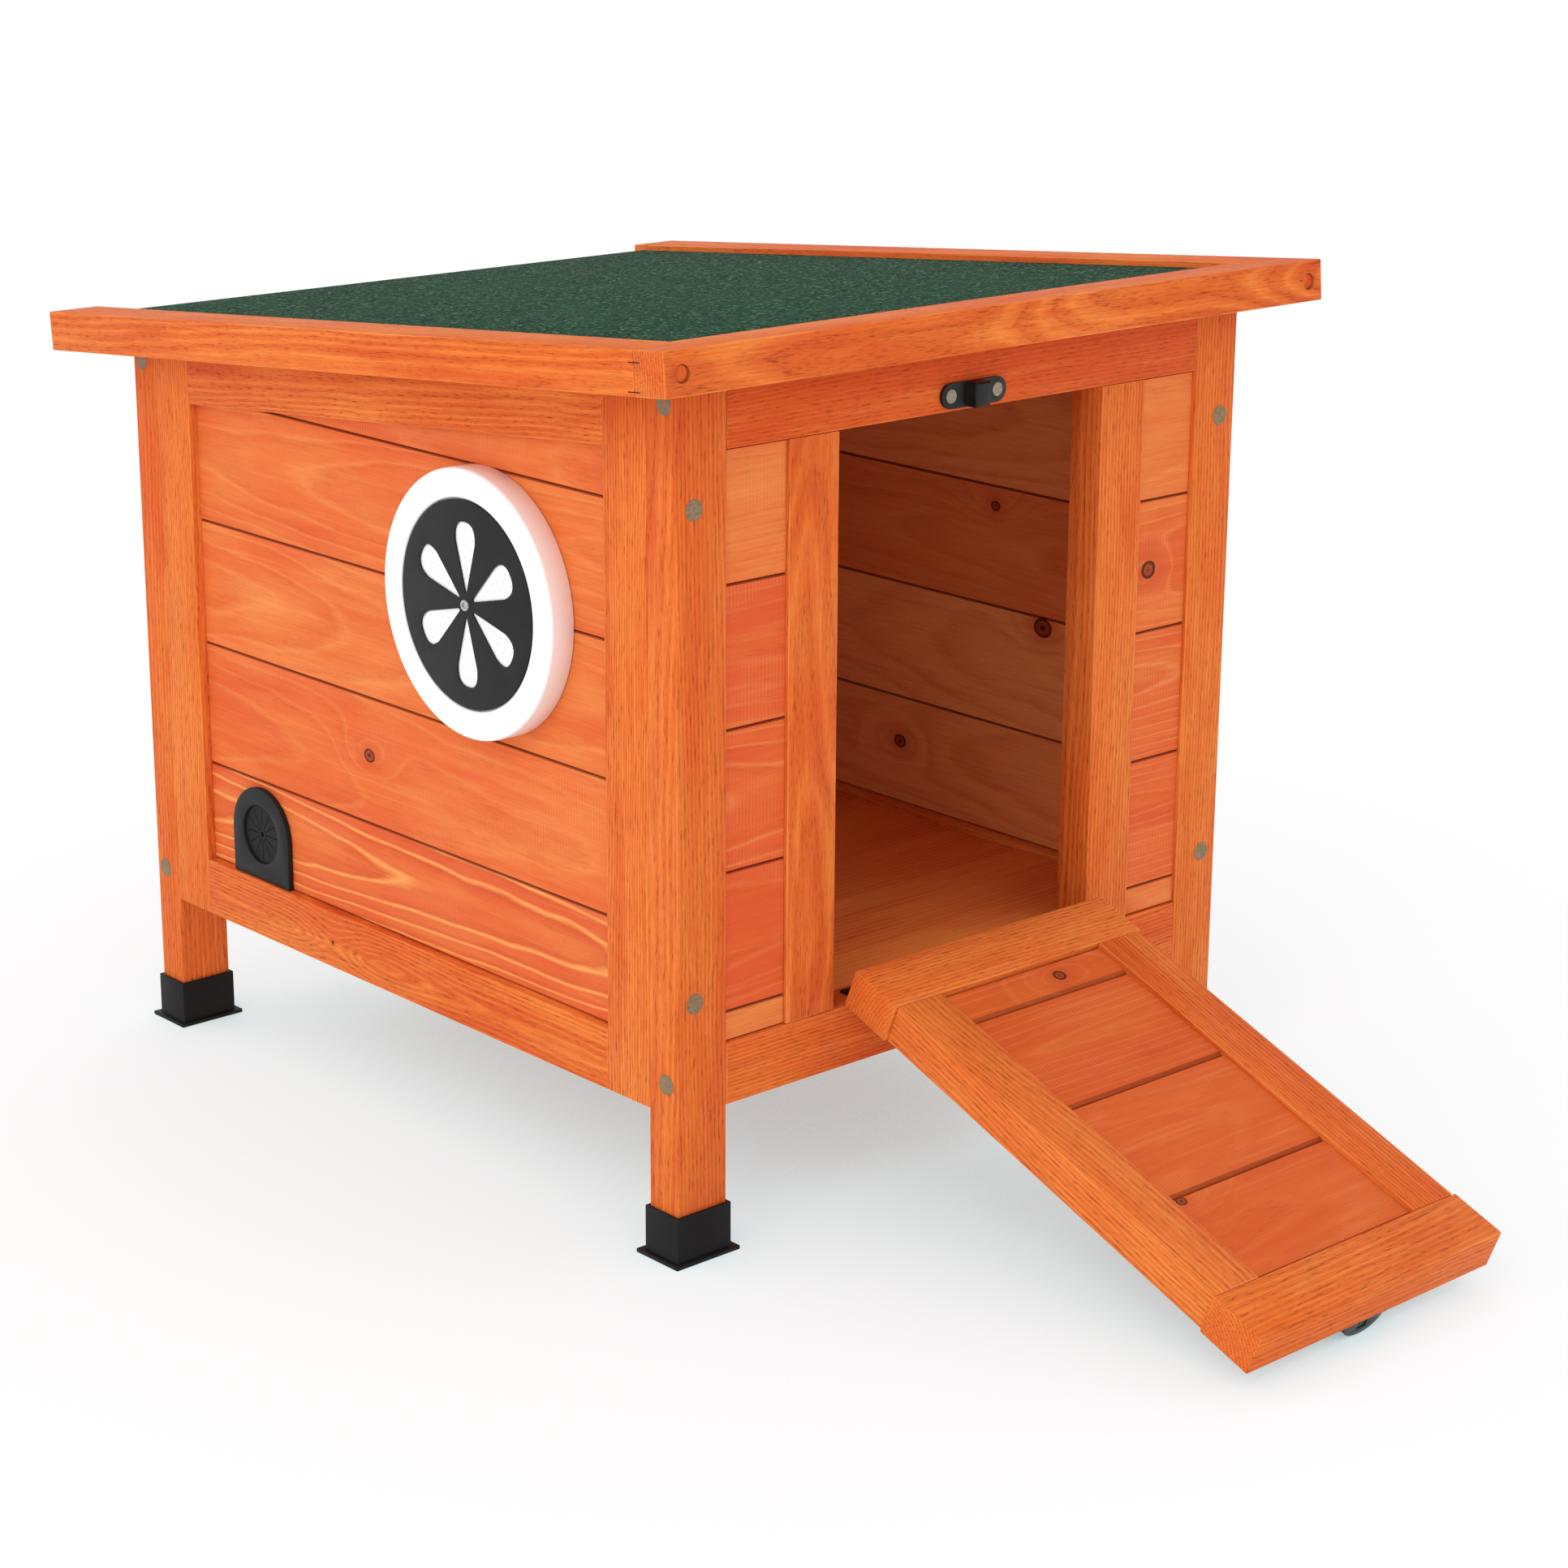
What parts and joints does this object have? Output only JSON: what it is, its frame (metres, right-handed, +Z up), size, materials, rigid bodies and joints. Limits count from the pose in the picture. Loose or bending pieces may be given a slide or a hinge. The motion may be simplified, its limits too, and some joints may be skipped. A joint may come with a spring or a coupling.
{
  "type": "rabbit hutch",
  "caption": "Wooden rabbit hutch on legs with a felted lean-to roof that lifts, boarded walls, a round shuttered vent, a cable port and a drop-down door that is the ramp.",
  "frame": {"origin": "on the ground under the middle of the hutch's box, lowered ramp included", "axes": "+Z up, -Y out of the doorway and down the ramp, -X the side with the vent and the cable port"},
  "size_m": [0.4232, 0.7326, 0.4305],
  "materials": {
    "stained_batten": "orange stain, satin",
    "stained_board": "orange-red stain, satin",
    "floor_ply": "stained plywood",
    "roof_felt": "green mineral-surfaced bitumen felt",
    "black_plastic": "fine matte",
    "white_plastic": "satin white",
    "black_metal": "black powder coat",
    "bare_steel": "plain zinc",
    "black_rubber": "matte"
  },
  "bodies": {
    "hutch": {"back_boards": "stained_board", "back_bottom_rail": "stained_batten", "back_stile_left": "stained_batten", "back_stile_right": "stained_batten", "back_top_rail": "stained_batten", "cable_port_diaphragm": "black_rubber", "cable_port_plate": "black_plastic", "door_jamb_left": "stained_batten", "door_jamb_right": "stained_batten", "door_keeper": "black_metal", "floor_panel": "floor_ply", "foot_cap_back_left": "black_plastic", "foot_cap_back_right": "black_plastic", "foot_cap_front_left": "black_plastic", "foot_cap_front_right": "black_plastic", "front_boards_left": "stained_board", "front_boards_right": "stained_board", "front_sill": "stained_batten", "front_top_rail": "stained_batten", "left_boards": "stained_board", "left_bottom_rail": "stained_batten", "left_stile_back": "stained_batten", "left_stile_front": "stained_batten", "left_top_rail": "stained_batten", "post_back_left": "stained_batten", "post_back_right": "stained_batten", "post_front_left": "stained_batten", "post_front_right": "stained_batten", "right_boards": "stained_board", "right_bottom_rail": "stained_batten", "right_stile_back": "stained_batten", "right_stile_front": "stained_batten", "right_top_rail": "stained_batten", "sill_hinge_leaf_left": "black_metal", "sill_hinge_leaf_right": "black_metal", "vent_grille": "white_plastic", "vent_housing": "white_plastic", "vent_screw": "bare_steel", "wall_hinge_leaf_left": "black_metal", "wall_hinge_leaf_right": "black_metal"},
    "roof": {"roof_batten_front": "stained_batten", "roof_batten_left": "stained_batten", "roof_batten_right": "stained_batten", "roof_deck": "stained_board", "roof_felt": "roof_felt", "roof_hinge_leaf_left": "black_metal", "roof_hinge_leaf_right": "black_metal"},
    "ramp": {"ramp_board_1": "stained_board", "ramp_board_2": "stained_board", "ramp_board_3": "stained_board", "ramp_board_4": "stained_board", "ramp_end_batten": "stained_batten", "ramp_hinge_batten": "stained_batten", "ramp_hinge_leaf_left": "black_metal", "ramp_hinge_leaf_right": "black_metal", "ramp_rail_left": "stained_batten", "ramp_rail_right": "stained_batten", "latch_base": "black_metal"},
    "bolt": {"latch_bolt": "black_metal"},
    "shutter": {"vent_shutter": "black_plastic"}
  },
  "joints": [
    {"name": "ramp_hinge", "type": "hinge", "parent": "hutch", "child": "ramp", "pos_m": [0, -0.10471, 0.1035], "axis": [-1, 0, 0], "range_deg": [0, 110.9]},
    {"name": "roof_hinge", "type": "hinge", "parent": "hutch", "child": "roof", "pos_m": [0, 0.33629, 0.3699], "axis": [-1, 0, 0], "range_deg": [0, 90]},
    {"name": "latch_slide", "type": "slide", "parent": "ramp", "child": "bolt", "axis": [0, -0.9338, -0.3577], "range_m": [0, 0.012]},
    {"name": "shutter_spin", "type": "hinge", "parent": "hutch", "child": "shutter", "pos_m": [-0.1771, 0.03919, 0.2879], "axis": [-1, 0, 0], "continuous": true}
  ]
}
